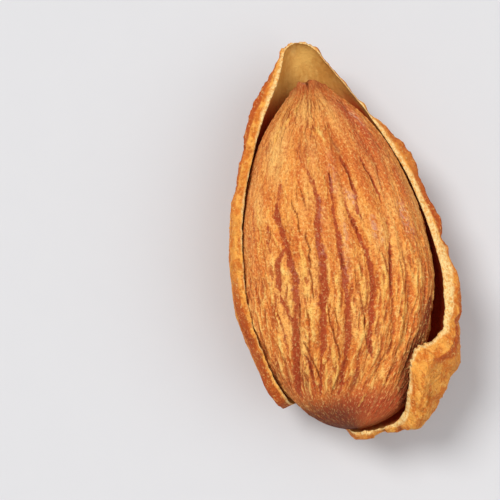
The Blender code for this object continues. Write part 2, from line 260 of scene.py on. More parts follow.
FACE_CREASES = (
    (6, 90, ((9, 112), (14, 113), (18, 113), (22, 114), (26, 116), (31, 117))),
    (6, 100, (
        (-26, 107), (-21, 107), (-15, 107), (-10, 108), (-6, 107), (-2, 108), (2, 107), (5, 108),
        (9, 109), (13, 108),
    )),
    (10, 80, ((24, 107), (27, 108), (32, 109), (37, 111))),
    (7, 60, ((26, 113), (32, 113), (39, 113))),
    (7, 80, ((-41, 113), (-37, 112), (-33, 112), (-28, 113))),
    (5, 80, ((-29, 110), (-26, 111), (-23, 111))),
    (6, 100, (
        (-62, 99), (-58, 97), (-53, 97), (-49, 98), (-45, 98), (-41, 99), (-37, 99), (-34, 99),
    )),
    (6, 90, ((-43, 94), (-38, 95), (-35, 95), (-30, 95))),
    (6, 70, ((-22, 81), (-17, 81), (-13, 81), (-8, 82))),
    (6, 80, ((-18, 77), (-13, 78), (-8, 78))),
    (6, 90, ((-46, 78), (-40, 77), (-35, 78), (-29, 79), (-24, 79))),
    (6, 70, ((-45, 82), (-40, 81), (-34, 81), (-29, 83), (-25, 85))),
    (6, 80, ((-9, 62), (-6, 63), (-2, 65))),
    (7, 80, ((-52, 47), (-47, 48), (-42, 50), (-39, 52), (-35, 53))),
    (7, 100, ((-71, 117), (-67, 117), (-62, 117), (-59, 118), (-55, 118), (-50, 119), (-47, 122))),
    (6, 90, ((-69, 121), (-64, 121), (-60, 120), (-57, 121), (-54, 122))),
    (6, 90, ((-74, 130), (-70, 128), (-67, 129), (-63, 128))),
    (6, 80, ((-77, 141), (-72, 139), (-67, 134), (-60, 129), (-54, 125))),
    (6, 90, ((-47, 122), (-39, 119), (-32, 117), (-25, 116))),
    (6, 80, ((-39, 132), (-34, 132), (-29, 133))),
    (7, 100, ((36, 89), (40, 89), (44, 89))),
    (6, 90, ((7, 77), (10, 77), (14, 79), (18, 80))),
    (7, 100, ((31, 74), (36, 75), (40, 75), (44, 76), (49, 77))),
    (7, 100, ((32, 57), (36, 58), (40, 59), (44, 60), (48, 62))),
    (5, 70, ((50, 52), (54, 52), (58, 51))),
    (6, 100, ((-24, 59), (-18, 59), (-12, 58), (-7, 57), (-2, 57))),
    (7, 90, ((-13, 87), (-9, 88), (-5, 88), (-1, 89))),
    (5, 80, ((-62, 85), (-58, 85))),
    (5, 70, ((-61, 74), (-57, 75), (-52, 74))),
    (6, 80, ((-67, 96), (-63, 94), (-59, 92))),
    (6, 90, ((-81, 114), (-76, 109), (-72, 104), (-68, 101))),
    (5, 80, ((-37, 63), (-34, 66))),
    (6, 80, ((6, 136), (11, 134), (16, 133))),
    (6, 70, ((-4, 120), (-1, 121), (5, 122))),
    (6, 80, ((-36, 99), (-32, 99), (-28, 99))),
    (6, 60, ((79, 102), (87, 100), (96, 98))),
    (5, 60, ((80, 120), (86, 114), (93, 110))),
    (5, 60, ((80, 74), (86, 79), (92, 84))),
    (5, 50, ((61, 107), (67, 109), (73, 111))),
    (5, 60, ((74, 46), (76, 48), (80, 47))),
    (5, 70, ((-59, 79), (-54, 77), (-46, 78))),
    (5, 60, ((-61, 70), (-55, 69), (-47, 70))),
    (5, 70, ((-62, 60), (-56, 58), (-47, 59))),
)
# The shell's outline near the rim, in millimetres beside the solid's: by degrees round
EDGE_TRIM = (
    (0, 0.0), (11, 0.15), (17, 0.25), (24, -0.02), (29, -0.04), (33, -0.2), (36, -0.06),
    (41, 0.04), (46, -0.1), (50, 0.06), (54, -0.17), (57, 0.02), (63, 0.07), (67, 0.15),
    (70, 0.04), (73, -0.1), (76, -0.3), (79, -0.09), (82, 0.0), (86, 0.15), (90, 0.25), (93, 0.0),
    (94, -0.14), (97, 0.08), (99, -0.02), (103, 0.0), (106, 0.14), (110, 0.12), (113, 0.05),
    (118, 0.0), (120, -0.16), (122, 0.0), (126, 0.17), (130, 0.43), (132, 0.58), (135, 0.5),
    (138, 0.25), (142, 0.23), (145, 0.12), (150, 0.19), (156, 0.09), (160, 0.05), (163, -0.1),
    (166, 0.02), (170, -0.14), (174, -0.2), (178, -0.02), (182, 0.15), (187, 0.14), (192, 0.12),
    (214, 0.15), (218, 0.24), (225, 0.22), (232, 0.0), (242, 0.0), (252, 0.0), (262, 0.0),
    (272, 0.0), (280, 0.0), (285, -0.16), (290, -0.34), (294, -0.2), (298, -0.26), (302, -0.18),
    (306, -0.15), (313, 0.04), (318, 0.08), (324, -0.04), (333, -0.15), (339, -0.12), (345, 0.18),
    (352, 0.08),
)
# How far the inner lip stands in, and how broad the cream break is, in millimetres
LIP_IN = (
    (0, -0.12), (8, -0.12), (17, -0.12), (24, 0.0), (50, 0.0), (62, 0.06), (70, 0.14), (79, 0.25),
    (88, 0.33), (96, 0.34), (104, 0.22), (112, 0.08), (120, 0.0), (140, 0.0), (220, 0.0),
    (230, -0.06), (242, -0.07), (254, 0.0), (270, 0.0), (290, 0.0), (310, 0.0), (338, 0.0),
    (345, -0.14), (352, -0.14),
)
CREAM_WIDTH = (
    (0, 0.26), (10, 0.3), (20, 0.24), (30, 0.1), (40, 0.16), (52, 0.24), (60, 0.34), (70, 0.36),
    (79, 0.44), (88, 0.5), (96, 0.68), (104, 0.82), (111, 0.72), (118, 0.58), (124, 0.46),
    (130, 0.3), (138, 0.36), (145, 0.26), (152, 0.24), (158, 0.42), (164, 0.55), (170, 0.24),
    (182, 0.34), (190, 0.2), (214, 0.24), (222, 0.1), (240, 0.02), (270, 0.04), (283, 0.12),
    (290, 0.02), (304, 0.1), (314, 0.3), (324, 0.34), (335, 0.3), (350, 0.3),
)
# How rusty the outside is, and how far from the lip the rust begins, in millimetres
RUSTY = (
    (0, 0.1), (12, 0.2), (22, 0.6), (32, 0.9), (45, 0.4), (60, 0.3), (80, 0.7), (92, 0.9),
    (100, 0.3), (112, 0.6), (125, 0.9), (135, 0.9), (142, 0.5), (150, 0.2), (160, 0.0), (175, 0.3),
    (200, 0.3), (216, 1.0), (230, 1.0), (250, 0.8), (265, 0.35), (280, 0.4), (295, 0.7),
    (310, 0.85), (322, 0.7), (335, 0.5), (350, 0.1),
)
RUST_FROM = (
    (0, 0.1), (30, 0.12), (60, 0.3), (80, 0.3), (95, 0.6), (112, 0.9), (130, 1.2), (145, 1.6),
    (160, 1.5), (180, 0.5), (216, 0.12), (232, 0.15), (280, 0.5), (310, 0.6), (330, 0.35),
)
# By how many degrees the scene's rim stands off the solid's, and how torn it is
RIM_TRIM = (
    (0, 0), (104, 0), (112, 0.5), (117, -2.5), (122, -5.5), (128, -8.5), (134, -6), (142, -1),
    (150, 0), (160, -2), (166, -6), (174, -5), (180, -1), (186, 0), (350, 0),
)
TORN = (
    (0, 0.9), (12, 1.1), (25, 0.8), (38, 0.6), (50, 0.2), (60, 0.3), (90, 0.0), (120, 0.2),
    (145, 0.4), (160, 0.6), (170, 1.0), (185, 1.0), (200, 0.1), (215, 0.5), (230, 0.2), (290, 0.3),
    (330, 0.4), (345, 0.9), (360, 0.9),
)
# Painted shade on the kernel's side under the flap of the shell, where the flap's shadow falls,
# partly the skin's dark colour
SHADED_SIDE = (
    (85, 100, (
        (-90, 28), (-81, 38), (-73, 41), (-63, 41), (-55, 34), (-46, 26), (-38, 23), (-31, 19),
    )),
)
# Where the face is redder, paler gold, and dusted with lilac: place along from -1 to 1, degrees
# round, reach along and across in millimetres, and strength. The paler gold on the right of the
# face is partly painted light, and the lilac is partly painted sheen.
RUDDY_PATCHES = (
    (0.78, 48, (1.9, 1.0), 1.2), (0.66, 42, (2.0, 0.8), 1.1), (0.56, 48, (3.2, 2.0), 0.8),
    (0.5, 84, (2.4, 2.4), 0.35), (0.56, 104, (1.6, 0.9), 0.5), (0.36, 30, (2.4, 1.0), 0.5),
    (-0.42, 22, (2.6, 0.8), 1.0), (-0.88, 75, (1.5, 5.0), 1.3), (-0.74, 140, (2.2, 1.8), 0.9),
    (0.95, 90, (1.0, 2.5), 0.5), (0.12, 152, (2.2, 0.6), 0.3),
)
# Paler gold: the skin's own colour, and on the right of the face partly painted light that
# brightens it
GOLD_AND_LIGHT_PATCHES = (
    (0.6, 134, (2.4, 1.3), 1.0), (0.8, 106, (1.6, 1.2), 0.8), (0.3, 146, (2.4, 0.7), 0.6),
    (0.84, 68, (1.2, 0.7), 0.5), (0.34, 58, (1.6, 0.6), 0.5), (-0.52, 72, (2.6, 1.6), 0.4),
)
# Lilac: partly the skin's lilac dust, partly painted sheen
LILAC_DUST_AND_SHEEN_PATCHES = (
    (0.29, 79, (0.5, 0.22), 1.0), (0.26, 76, (0.6, 0.2), 0.9), (0.1, 66, (0.9, 0.22), 1.0),
    (0.04, 62, (0.5, 0.2), 0.7), (0.16, 41, (1.0, 0.5), 0.9), (0.08, 39, (0.6, 0.5), 0.8),
    (0.22, 98, (1.0, 0.3), 0.4), (0.02, 100, (1.2, 0.35), 0.5), (-0.14, 119, (1.0, 0.3), 0.5),
    (0.42, 87, (1.4, 0.3), 0.5), (0.08, 85, (1.4, 0.25), 0.6), (-0.1, 86, (1.6, 0.3), 0.5),
    (0.76, 38, (0.9, 0.22), 0.9), (0.97, 112, (0.3, 0.3), 1.1),
)
# How far the skin's grain turns, in degrees, at places along from -1 to 1
SKIN_DRIFT = (
    (-1.0, 34), (-0.85, 26), (-0.75, 19), (-0.63, 11), (-0.5, 4.5), (-0.36, 1.5), (-0.14, 0),
    (0.05, 2.5), (0.2, 5), (0.4, 6), (0.65, 8), (1.0, 8),
)
# The skin's own millimetres: round the kernel and along it
SKIN_ROUND = 7.0
SKIN_ALONG = 13.3


# ---- Formulas that the solids have too ------------------------------------------------------

def smooth(low, high, values):
    """0 below low, 1 above high, and an even bend between."""
    t = np.clip((values - low) / (high - low), 0, 1)
    return t * t * (3 - 2 * t)


def through(table, values):
    """The heights, at the values, of a smooth curve through the table's points."""
    place, height = np.array(table, float).T
    slope = np.gradient(height, place)
    k = np.clip(np.searchsorted(place, values) - 1, 0, len(place) - 2)
    run = place[k + 1] - place[k]
    t = (values - place[k]) / run
    rise = height[k] + (height[k + 1] - height[k]) * t * t * (3 - 2 * t)
    return rise + run * t * (1 - t) * (slope[k] * (1 - t) - slope[k + 1] * t)


def by_degrees(table, around):
    """The heights of a table by degrees round from the tip, that closes on itself."""
    before = [(angle - 360, height) for angle, height in table[-3:]]
    after = [(angle + 360, height) for angle, height in table[:3]]
    return through(before + list(table) + after, around % 360)


def uneven(points, size, seed):
    """A smooth uneven height of about -1 to 1, in swellings of about the given size."""
    chance = np.random.default_rng(seed)
    total = np.zeros(len(points))
    for _ in range(9):
        way = chance.normal(size=3)
        way *= chance.uniform(0.6, 1.3) / (np.linalg.norm(way) * size)
        total += np.sin(np.pi * (points @ way) + chance.uniform(0, 2 * np.pi))
    return total / 4


def unit(vectors):
    return vectors / np.linalg.norm(vectors, axis=1)[:, None]


def direction(around, height):
    """Unit vectors at angles round from the tip and above level, in degrees."""
    a, h = np.radians(around), np.radians(height)
    return np.stack([np.cos(h) * np.sin(a), np.cos(h) * np.cos(a), np.sin(h)], 1)


class Form:
    """An ovoid: a ball stretched lengthwise, and by its tables across and upwards."""

    def __init__(self, length, middle, widths, depths, shifts, squareness):
        self.length = length
        self.middle = np.array(middle)
        self.widths = widths
        self.depths = depths
        self.shifts = shifts
        self.squareness = squareness

    def surface(self, toward):
        """The surface points that unit vectors from the middle are stretched to."""
        x, y, z = toward.T
        flat = np.maximum(np.hypot(x, z), 1e-9)
        n = self.squareness
        bulge = np.maximum(np.abs(x / flat) ** n + np.abs(z / flat) ** n, 0.1) ** (-1 / n)
        wide = MM * through(self.widths, y) * x * bulge
        deep = MM * through(self.depths, y) * z * bulge
        shift = MM * through(self.shifts, y)
        return self.middle + np.stack([shift + wide, self.length / 2 * y, deep], 1)

    def outward(self, toward):
        """Unit vectors that stand square on the surface."""
        helper = np.where(np.abs(toward[:, :1]) < 0.9, (1.0, 0, 0), (0, 0, 1.0))
        side = 1e-3 * unit(np.cross(toward, helper))
        ahead = np.cross(side, toward)
        across = self.surface(unit(toward + side)) - self.surface(unit(toward - side))
        along = self.surface(unit(toward + ahead)) - self.surface(unit(toward - ahead))
        square = unit(np.cross(across, along))
        return square * np.sign(np.sum(square * toward, axis=1))[:, None]

    def raised(self, toward, heights):
        """The surface points, moved outwards by the heights."""
        return self.surface(toward) + self.outward(toward) * heights[:, None]


KERNEL = Form(
    KERNEL_LENGTH, KERNEL_MIDDLE, KERNEL_WIDTHS, KERNEL_DEPTHS, KERNEL_SHIFTS, KERNEL_SQUARENESS
)
HOLLOW = Form(
    HOLLOW_LENGTH, HOLLOW_MIDDLE, HOLLOW_WIDTHS, HOLLOW_DEPTHS, HOLLOW_SHIFTS, HOLLOW_SQUARENESS
)


def round_kernel(toward):
    """Degrees round the kernel: 0 is the right side and 90 the top."""
    return np.degrees(np.arctan2(toward[:, 2], toward[:, 0]))


def kernel_reach(along):
    """The kernel's half width in millimetres, at places along it."""
    return through(KERNEL_WIDTHS, along) * np.sqrt(1 - along**2)


def courses(toward, lines, wander):
    """Each line's breadth and strength, and how far points are past its ends and beside it."""
    along = toward[:, 1]
    around = round_kernel(toward) + wander
    reach = kernel_reach(along)
    for breadth, strength, course in lines:
        course = np.array(course) / (100, 1)
        start, end = course[0, 0], course[-1, 0]
        off = np.radians(around - through(course, np.clip(along, start, end))) * reach
        yield breadth / 100, strength / 100, along - start, end - along, off


def lines_on_face(toward, lines, wander):
    """How deep the surface is drawn in by lines told as the face's furrows are."""
    drawn_in = np.zeros(len(toward))
    for breadth, depth, begun, left, off in courses(toward, lines, wander):
        lasts = smooth(-0.08, 0.04, begun) * smooth(-0.08, 0.04, left)
        drawn_in = np.maximum(drawn_in, depth * lasts * np.exp(-((off / breadth) ** 2)))
    return drawn_in


def strokes_on_face(toward, strokes, wander, broader=1.0):
    """How strongly strokes are drawn, that are told as the furrows are and thin out at the ends."""
    drawn = np.zeros(len(toward))
    for breadth, strength, begun, left, off in courses(toward, strokes, wander):
        lasts = smooth(-0.02, 0.07, begun) * smooth(-0.02, 0.07, left)
        half = broader * breadth * (0.25 + 0.75 * lasts)
        inside = smooth(-1.5, -0.35, -np.abs(off) / half)
        drawn = np.maximum(drawn, strength * smooth(0, 0.35, lasts) * inside)
    return drawn


def upward_share(toward):
    return toward[:, 2] / np.maximum(np.hypot(toward[:, 0], toward[:, 2]), 1e-9)


def low_furrows(toward):
    """The low furrows that lie all round the kernel."""
    around = np.arctan2(toward[:, 2], toward[:, 0]) / (2 * np.pi)
    wander = 0.75 * uneven(toward * (1, 0.8, 1), 0.9, 4) + 0.30 * uneven(toward, 0.36, 3)
    depth = np.clip(0.7 + 0.5 * uneven(toward * (1, 0.7, 1), 0.42, 11), 0.25, 1)
    valley = (0.5 + 0.5 * np.cos(2 * np.pi * (FURROWS * around + wander))) ** 1.4
    low = valley * depth * (1 - 0.7 * smooth(0.0, 0.3, upward_share(toward)))
    return low * (1 - smooth(0.82, 0.995, np.abs(toward[:, 1])))


def shell_relief(toward):
    """The height of the shell's outer ridges and lumps, lower near the rim."""
    around = np.arctan2(toward[:, 0], -toward[:, 2])
    ridge = np.cos(RIDGES * around + 2.5 * uneven(toward, 0.8, 7))
    fade = 1 - smooth(0.75, 0.98, np.abs(toward[:, 1]))
    lumps = uneven(toward * (1, 1.7, 1), 0.30, 8) + 0.5 * uneven(toward * (1, 1.7, 1), 0.17, 2)
    strength = 0.4 + 0.6 * smooth(0.05, 0.5, -toward[:, 2])
    return strength * (RIDGE_HEIGHT * ridge * fade + LUMP_HEIGHT * lumps)


def rim_height(around):
    """The rim's height above level in degrees, at angles round from the tip."""
    level = by_degrees(RIM, around)
    rough = uneven(4 * direction(around, 0 * around), 1.1, 5)
    return level + RIM_RAGGEDNESS * rough


def wall(around, toward):
    """The thickness of the shell's wall, without its ridges."""
    at_rim = by_degrees(WALL_AT_RIM, around)
    back = smooth(0.05, 0.85, -toward[:, 2])
    return MM * (at_rim + (WALL_BACK - at_rim) * back)


# ---- The fine relief ------------------------------------------------------------------------

def grain(points, across, along, seed, bend=0):
    """Chance heights of about -1 to 1 that pass smoothly into each other.

    So many of them stand in one unit of the points, across and along the almond.
    """
    points = points * (across, along, across) + bend
    slopes = np.random.default_rng(seed).normal(size=(1024, 3))
    cell = np.floor(points).astype(np.int64)
    part = points - cell
    ease = part**3 * (part * (6 * part - 15) + 10)
    total = np.zeros(len(points))
    for corner in np.ndindex(2, 2, 2):
        spot = (cell + corner) * (73856093, 19349663, 83492791)
        which = (spot[:, 0] ^ spot[:, 1] ^ spot[:, 2]) % 1024
        share = np.prod(np.where(corner, ease, 1 - ease), axis=1)
        total += share * np.sum(slopes[which] * (part - corner), axis=1)
    return total


def line_of(heights, thin):
    """1 along the lines where chance heights pass through nothing, 0 away from them."""
    return np.exp(-((heights / thin) ** 2))


def skin_place(toward):
    """Places on the kernel's skin in millimetres, that follow the skin's lengthwise grain."""
    around = np.arctan2(toward[:, 2], toward[:, 0])
    turned = around - np.radians(through(SKIN_DRIFT, toward[:, 1]))
    return np.stack([
        SKIN_ROUND * np.cos(turned), SKIN_ALONG * toward[:, 1], SKIN_ROUND * np.sin(turned)
    ], 1)


def patches_on_face(toward, patches):
    """The strength of soft patches, told as place, degrees round, reach and strength."""
    along = toward[:, 1]
    around = round_kernel(toward)
    reach = kernel_reach(along)
    total = np.zeros(len(toward))
    for place, degrees, (long, broad), strength in patches:
        across = np.radians(around - degrees) * reach / broad
        off = np.hypot((along - place) * SKIN_ALONG / long, across)
        total = np.maximum(total, strength * np.exp(-(off**2)))
    return total


def kernel_surface(toward):
    """The kernel's points, and what its finish needs to know at each."""
    skin = skin_place(toward)
    face = smooth(-0.1, 0.35, upward_share(toward))
    along = toward[:, 1]
    ends = 1 - smooth(0.86, 0.99, np.abs(along))
    wander = 0.8 * grain(skin, 0.5, 0.3, 21) + 0.8 * grain(skin, 1.6, 0.9, 22)
    shaky = 0.7 * grain(skin, 1.6, 1.1, 22) + 0.9 * grain(skin, 4.2, 3.0, 23)
    furrow = np.maximum(low_furrows(toward), lines_on_face(toward, FACE_FURROWS, wander))
    band = strokes_on_face(toward, FACE_BANDS, shaky, 1.22)
    ridge = strokes_on_face(toward, FACE_RIDGES, 1.3 * shaky)
    wrinkle = strokes_on_face(toward, FACE_CREASES, 0.45 * shaky)
    hidden = 1 - face
    swell = grain(skin, 1.4, 0.18, 31)
    bend = 0.5 * grain(skin, 0.9, 0.9, 33)[:, None]
    pleat = grain(skin, 2.3, 0.55, 32, bend)
    fine = line_of(pleat, 0.14) * smooth(-0.35, 0.2, grain(skin, 0.8, 0.35, 34))
    scratch = line_of(grain(skin, 3.8, 1.3, 35, bend), 0.15)
    scratch = scratch * smooth(0.0, 0.4, grain(skin, 1.2, 0.7, 36))
    chance = 0.35 + 0.5 * hidden + 0.4 * face * smooth(0.40, 0.75, along)
    crease = np.maximum(wrinkle, chance * np.maximum(fine, 0.7 * scratch)) * ends
    band = np.maximum(band, 0.8 * hidden * smooth(0.35, 0.75, furrow))
    ridge = np.maximum(ridge, 0.8 * hidden * smooth(0.15, 0.5, swell) * (1 - band))
    grains = grain(skin, 5.0, 4.2, 37)
    lower = smooth(-0.25, 0.30, -along) * (1 - smooth(0.70, 0.84, -along))
    crinkle = grain(skin, 3.8, 0.85, 38, 1.4 * bend) * (0.20 + 0.80 * lower)
    crinkle = crinkle * (1 - 0.6 * band) * (1 - smooth(0.74, 0.9, np.abs(along)))
    # painted shade under the flap of the shell, partly the skin's dark colour
    deep = strokes_on_face(toward, SHADED_SIDE, 2 * shaky)
    sunk = FURROW_DEPTH * (furrow + 0.30 * band - 0.28 * ridge) + CREASE_DEPTH * crease
    sunk += (GRAIN_DEPTH * grains + CRINKLE_DEPTH * crinkle - SWELL_HEIGHT * swell) * ends
    around = round_kernel(toward) % 360
    leaning = smooth(130, 160, around) * (1 - smooth(190, 215, around))
    sunk -= LEFT_SWELLING * leaning * (1 - smooth(0.55, 0.85, np.abs(along)))
    fuller = smooth(0.85, 0.98, np.cos(np.radians(around - 12)))
    sunk -= RIGHT_SWELLING * fuller * np.exp(-(((along + 0.28) / 0.34) ** 2))
    lower_left = smooth(0.20, 0.85, np.cos(np.radians(around - 150)))
    return KERNEL.raised(toward, -sunk), {
        "skin_x": skin[:, 0], "skin_y": skin[:, 1], "skin_z": skin[:, 2],
        "furrow": furrow, "band": band, "ridge": ridge, "crease": crease, "face": face,
        "left": smooth(138, 172, around) * (1 - smooth(200, 230, around)),
        "ruddy": patches_on_face(toward, RUDDY_PATCHES),
        "golden": patches_on_face(toward, GOLD_AND_LIGHT_PATCHES),
        "dusty": patches_on_face(toward, LILAC_DUST_AND_SHEEN_PATCHES),
        "base": smooth(0.80, 0.96, -along),
        # darker towards the base's lower left: partly the skin's own colour, partly painted shade
        "dark_end": smooth(0.76, 0.92, -along) * lower_left,
        "crinkle": crinkle, "deep": deep,
    }


def kernel_tip(toward, points):
    """Raises the two small knobs at the tip, with a cleft between them."""
    placed = (points - KERNEL_MIDDLE) / MM
    x, y, z = placed.T
    rise = np.zeros(len(points))
    for side, ahead, reach, height in TIP_KNOBS:
        off = np.hypot(np.hypot(x - side, y - ahead), 0.45 * (z - 0.9))
        rise += height * np.exp(-((off / reach) ** 2))
    cleft = np.exp(-(((x - CLEFT_ACROSS) / CLEFT_REACH) ** 2))
    cleft = cleft * smooth(11.9, 12.9, y) * smooth(-0.5, 0.4, z)
    rise -= CLEFT_DEPTH * cleft
    rise += 0.16 * grain(placed, 2.6, 2.6, 41) * smooth(11.6, 12.6, y)
    tip = np.clip(smooth(12.0, 12.9, y) + 0.8 * smooth(0.05, 0.25, rise), 0, 1)
    return points + KERNEL.outward(toward) * (MM * rise)[:, None], tip, cleft


def shell_outside(around, height):
    """Points of the shell's outside, its relief and its pits."""
    toward = direction(around, height)
    plain = wall(around, toward)
    deep = smooth(0.1 * MM, 0.9 * MM, plain)
    relief = shell_relief(toward)
    base = HOLLOW.surface(toward) / MM
    knobs = grain(base, 0.9, 0.55, 51) + 0.6 * grain(base, 1.9, 1.3, 52)
    pitted = grain(base, 2.3, 1.5, 53)
    pits = smooth(0.34, 0.75, pitted) * smooth(-0.3, 0.3, grain(base, 0.5, 0.4, 54))
    specks = grain(base, 4.5, 4.5, 55)
    fine = BARE_RISE + KNOB_RISE * knobs - PIT_DEPTH * pits + SPECK_RISE * specks
    lumpy = 0.25 + 0.75 * deep
    thick = plain + (relief + fine) * lumpy * smooth(0, 0.3 * MM, plain)
    thick += MM * by_degrees(EDGE_TRIM, around) * smooth(-0.75, -0.1, toward[:, 2])
    thick = np.maximum(thick, THINNEST_WALL)
    points = HOLLOW.raised(toward, thick)
    points[:, 2] = np.maximum(points[:, 2], 0)
    return points, relief / (RIDGE_HEIGHT + LUMP_HEIGHT) + 0.35 * knobs, pits


def shell_inside(around, height, below_rim):
    """Points of the smooth inner wall, with faint lengthwise veins and a lip that stands in."""
    toward = direction(around, height)
    base = HOLLOW.surface(toward) / MM
    veins = grain(base, 1.6, 0.25, 61) + 0.5 * grain(base, 3.5, 0.7, 62)
    lip = by_degrees(LIP_IN, around) * np.exp(-((below_rim / 6) ** 2))
    sunk = VEIN_DEPTH * veins - MM * lip
    return HOLLOW.raised(toward, sunk), veins


def torn_rim(around):
    """How far the broken edge stands above the solid's own rim, in degrees."""
    ring = direction(around, 0 * around) * 12
    sizes = ((1.2, 0.9, 71), (0.9, 2.1, 72), (0.5, 4.5, 73))
    rough = sum(height * grain(ring, many, many, seed) for height, many, seed in sizes)
    torn = 1 + 1.4 * through(TORN, around % 360)
    return rough * torn - 0.4


def shell_surface(around, row):
    """The shell's points by degrees round and row number, and what its finish needs to know."""
    last_inside = SHELL_INSIDE_RINGS
    last_cut = last_inside + SHELL_CUT_RINGS
    rim = rim_height(around) + torn_rim(around) + by_degrees(RIM_TRIM, around)
    end = rim - CUT_SLOPE + 1.8 * grain(direction(around, 0 * around), 15, 15, 74)
    depth_in = np.clip((last_inside - row) / last_inside, 0, 1) ** 1.8
    depth_out = np.clip((row - last_cut) / SHELL_OUTSIDE_RINGS, 0, 1) ** 1.12
    below_rim = depth_in * (rim + 90)
    inner, veins = shell_inside(around, rim - below_rim, below_rim)
    outer, relief, pits = shell_outside(around, end - depth_out * (end + 90))
    over = np.clip((row - last_inside) / SHELL_CUT_RINGS, 0, 1)
    bowed = inner + (outer - inner) * over[:, None]
    thick = np.linalg.norm(outer - inner, axis=1)
    strip = np.stack([around, over, 0 * around], 1)
    fibres = grain(strip, 0.55, 3, 75) + 0.6 * grain(strip, 1.2, 5, 76)
    arch = np.sin(np.pi * over) * (0.16 + 0.16 * fibres)
    bowed[:, 2] += arch * np.minimum(thick, WIDEST_BOW)
    points = np.where(row[:, None] <= last_inside, inner, outer)
    points = np.where((row[:, None] > last_inside) & (row[:, None] < last_cut), bowed, points)
    past_lip = over * thick / MM + np.maximum(row - last_cut, 0) * 0.2
    short_of_lip = np.minimum(row - last_inside, 0) * 0.3
    # painted shade: the lining darkens deeper in the hollow, away from the beak
    hidden = smooth(3, 20, below_rim) * (1 - smooth(9.5, 12.5, points[:, 1] / MM))
    out_of = past_lip + short_of_lip
    rust_from = by_degrees(RUST_FROM, around)
    rusty = by_degrees(RUSTY, around) * smooth(rust_from, rust_from + 0.3, out_of)
    rusty = rusty * (1 - 0.6 * smooth(2.0, 4.0, out_of))
    calm = smooth(114, 122, around) * (1 - smooth(158, 168, around))
    calm += smooth(246, 252, around) * (1 - smooth(270, 276, around))
    return points, {
        "relief": relief, "pits": pits, "veins": veins, "hidden": hidden, "rusty": rusty,
        "calm": calm, "past_lip": out_of,
        "past_cream": out_of - by_degrees(CREAM_WIDTH, around),
    }


# ---- Meshes ---------------------------------------------------------------------------------

def closed_net(segments, rings):
    """Faces of a net drawn from one end point to another, and each point's row and share round."""
    count = segments * (rings - 1)
    row = np.concatenate([[0], 1 + np.arange(count) // segments, [rings]])
    share = np.concatenate([[0], np.arange(count) % segments / segments, [0]])
    here = 1 + np.arange(count).reshape(rings - 1, segments)
    right = np.roll(here, -1, axis=1)
    quads = np.stack([here[:-1], right[:-1], right[1:], here[1:]], -1).reshape(-1, 4)
    first = np.stack([0 * here[0], right[0], here[0]], 1)
    last = np.stack([0 * here[0] + count + 1, here[-1], right[-1]], 1)
    return first.tolist() + quads.tolist() + last.tolist(), row, share


def inside_box(points):
    """Keeps points inside the solids' box."""
    return np.clip(points, CAD_LOW + BOX_MARGIN, CAD_HIGH - BOX_MARGIN)


def piece(name, node, faces, points, marks, finish):
    """Makes a piece from points and faces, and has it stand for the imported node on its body."""
    mesh = bpy.data.meshes.new(name)
    mesh.from_pydata(inside_box(points).tolist(), [], faces)
    for mark, values in marks.items():
        layer = mesh.attributes.new(mark, "FLOAT", "POINT")
        layer.data.foreach_set("value", values.astype(np.float32))
    mesh.materials.append(finish)
    mesh.shade_smooth()
    made = bpy.data.objects.new(name, mesh)
    bpy.context.scene.collection.objects.link(made)
    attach(made, "root")
    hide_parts(node)
    return made


def make_kernel():
    """The net runs from the tip to the base, so the furrows follow its edges."""
    faces, row, share = closed_net(KERNEL_SEGMENTS, KERNEL_RINGS)
    around = 2 * np.pi * share
    around = around + KERNEL_FACE_BIAS * np.cos(around)
    level = np.pi * row / KERNEL_RINGS
    flat = np.sin(level)
    toward = np.stack([flat * np.cos(around), np.cos(level), flat * np.sin(around)], 1)
    points, marks = kernel_surface(toward)
    points, marks["tip"], cleft = kernel_tip(toward, points)
    # the cleft at the tip takes the creases' dark colour, partly painted shade
    marks["crease"] = np.maximum(marks["crease"], 0.8 * cleft)
    return piece("almond_kernel", "kernel", faces, points, marks, kernel_finish())


def make_shell():
    """The net runs from the bottom of the hollow over the rim to the resting spot outside."""
    rings = SHELL_INSIDE_RINGS + SHELL_CUT_RINGS + SHELL_OUTSIDE_RINGS
    faces, row, share = closed_net(SHELL_SEGMENTS, rings)
    points, marks = shell_surface(360 * share, row)
    return piece("almond_shell", "shell", faces, points, marks, shell_finish())


# ---- Finishes -------------------------------------------------------------------------------

class Strand:
    """A value in a finish. Python's operators on it add the Math nodes."""

    def __init__(self, finish, socket):
        self.finish = finish
        self.socket = socket

    def math(self, operation, *values):
        return self.finish.node("ShaderNodeMath", {"operation": operation}, dict(enumerate(values)))

    def __add__(self, other):
        return self.math("ADD", self, other)

    def __sub__(self, other):
        return self.math("SUBTRACT", self, other)

    def __rsub__(self, other):
        return self.math("SUBTRACT", other, self)

    def __mul__(self, other):
        return self.math("MULTIPLY", self, other)

    __radd__ = __add__
    __rmul__ = __mul__


